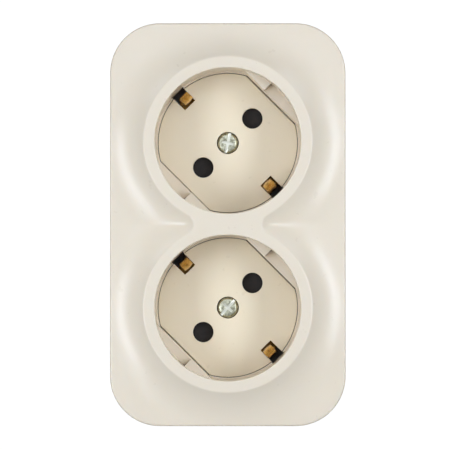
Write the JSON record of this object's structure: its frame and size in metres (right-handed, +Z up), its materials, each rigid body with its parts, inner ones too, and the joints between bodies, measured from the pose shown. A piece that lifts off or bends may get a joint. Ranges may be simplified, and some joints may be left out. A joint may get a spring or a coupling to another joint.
{
  "type": "double wall socket outlet",
  "caption": "Surface-mounted double wall socket with round earthed plug wells, shuttered pin holes, side earth clips, a lift-off cover and screw terminals in a wall box.",
  "frame": {"origin": "centre of the wall box's rear face, on the wall plane, midway between the two plug wells", "axes": "+X right and +Z up as seen from the front; the front faces -Y and the wall is the plane Y = 0"},
  "size_m": [0.064, 0.042, 0.1094],
  "materials": {
    "ivory_plastic": "satin moulded",
    "black_plastic": "matt moulded",
    "dark_plastic": "matt moulded",
    "spring_steel": "drawn wire",
    "zinc_plated_steel": "zinc plated",
    "brass": "stamped",
    "rubber": "matt"
  },
  "bodies": {
    "box": {"wall_box": "ivory_plastic", "upper_contact_carrier": "dark_plastic", "lower_contact_carrier": "dark_plastic", "line_bar": "brass", "neutral_bar": "brass", "line_contact_springs": "spring_steel", "neutral_contact_springs": "spring_steel", "earth_bridge": "brass", "cable_grommet": "rubber"},
    "cover": {"front_cover": "ivory_plastic", "upper_insert": "ivory_plastic", "lower_insert": "ivory_plastic", "upper_shutter_spring": "spring_steel", "lower_shutter_spring": "spring_steel"},
    "upper_shutter_plate": {"upper_shutter": "black_plastic"},
    "upper_screw": {"upper_cover_screw": "zinc_plated_steel"},
    "upper_clip_a": {"upper_earth_clip_a": "brass"},
    "upper_clip_b": {"upper_earth_clip_b": "brass"},
    "lower_shutter_plate": {"lower_shutter": "black_plastic"},
    "lower_screw": {"lower_cover_screw": "zinc_plated_steel"},
    "lower_clip_a": {"lower_earth_clip_a": "brass"},
    "lower_clip_b": {"lower_earth_clip_b": "brass"},
    "line_clamp": {"line_clamp_plate": "zinc_plated_steel"},
    "line_screw": {"line_terminal_screw": "zinc_plated_steel"},
    "neutral_clamp": {"neutral_clamp_plate": "zinc_plated_steel"},
    "neutral_screw": {"neutral_terminal_screw": "zinc_plated_steel"},
    "earth_clamp": {"earth_clamp_plate": "zinc_plated_steel"},
    "earth_screw": {"earth_terminal_screw": "zinc_plated_steel"}
  },
  "joints": [
    {"name": "cover_lift", "type": "slide", "parent": "box", "child": "cover", "axis": [0, -1, 0], "range_m": [0, 0.05]},
    {"name": "upper_shutter_turn", "type": "hinge", "parent": "cover", "child": "upper_shutter_plate", "pos_m": [0, -0.0212, 0.0225], "axis": [0, -1, 0], "range_deg": [0, 38], "stiffness_Nm_per_rad": 0.002, "springref_deg": -17.19},
    {"name": "upper_screw_turn", "type": "hinge", "parent": "cover", "child": "upper_screw", "pos_m": [0, -0.015, 0.0225], "axis": [0, -1, 0], "continuous": true},
    {"name": "upper_clip_a_flex", "type": "hinge", "parent": "box", "child": "upper_clip_a", "pos_m": [-0.01255, -0.008, 0.03505], "axis": [-0.7071, 0, -0.7071], "range_deg": [0, 4], "stiffness_Nm_per_rad": 2},
    {"name": "upper_clip_b_flex", "type": "hinge", "parent": "box", "child": "upper_clip_b", "pos_m": [0.01255, -0.008, 0.00995], "axis": [0.7071, 0, 0.7071], "range_deg": [0, 4], "stiffness_Nm_per_rad": 2},
    {"name": "lower_shutter_turn", "type": "hinge", "parent": "cover", "child": "lower_shutter_plate", "pos_m": [0, -0.0212, -0.0225], "axis": [0, -1, 0], "range_deg": [0, 38], "stiffness_Nm_per_rad": 0.002, "springref_deg": -17.19},
    {"name": "lower_screw_turn", "type": "hinge", "parent": "cover", "child": "lower_screw", "pos_m": [0, -0.015, -0.0225], "axis": [0, -1, 0], "continuous": true},
    {"name": "lower_clip_a_flex", "type": "hinge", "parent": "box", "child": "lower_clip_a", "pos_m": [-0.01255, -0.008, -0.00995], "axis": [-0.7071, 0, -0.7071], "range_deg": [0, 4], "stiffness_Nm_per_rad": 2},
    {"name": "lower_clip_b_flex", "type": "hinge", "parent": "box", "child": "lower_clip_b", "pos_m": [0.01255, -0.008, -0.03505], "axis": [0.7071, 0, 0.7071], "range_deg": [0, 4], "stiffness_Nm_per_rad": 2},
    {"name": "line_clamp_slide", "type": "slide", "parent": "box", "child": "line_clamp", "axis": [0, -1, 0], "range_m": [0, 0.00194]},
    {"name": "line_screw_turn", "type": "hinge", "parent": "line_clamp", "child": "line_screw", "pos_m": [0.02, -0.0052, 0], "axis": [0, -1, 0], "range_deg": [0, 1000]},
    {"name": "neutral_clamp_slide", "type": "slide", "parent": "box", "child": "neutral_clamp", "axis": [0, -1, 0], "range_m": [0, 0.00194]},
    {"name": "neutral_screw_turn", "type": "hinge", "parent": "neutral_clamp", "child": "neutral_screw", "pos_m": [-0.02, -0.0052, 0], "axis": [0, -1, 0], "range_deg": [0, 1000]},
    {"name": "earth_clamp_slide", "type": "slide", "parent": "box", "child": "earth_clamp", "axis": [0, -1, 0], "range_m": [0, 0.00194]},
    {"name": "earth_screw_turn", "type": "hinge", "parent": "earth_clamp", "child": "earth_screw", "pos_m": [0, -0.0102, 0], "axis": [0, -1, 0], "range_deg": [0, 1000]}
  ],
  "couplings": [
    {"joint": "line_screw_turn", "follows": "line_clamp_slide", "rad_per_m": 8976},
    {"joint": "neutral_screw_turn", "follows": "neutral_clamp_slide", "rad_per_m": 8976},
    {"joint": "earth_screw_turn", "follows": "earth_clamp_slide", "rad_per_m": 8976}
  ]
}
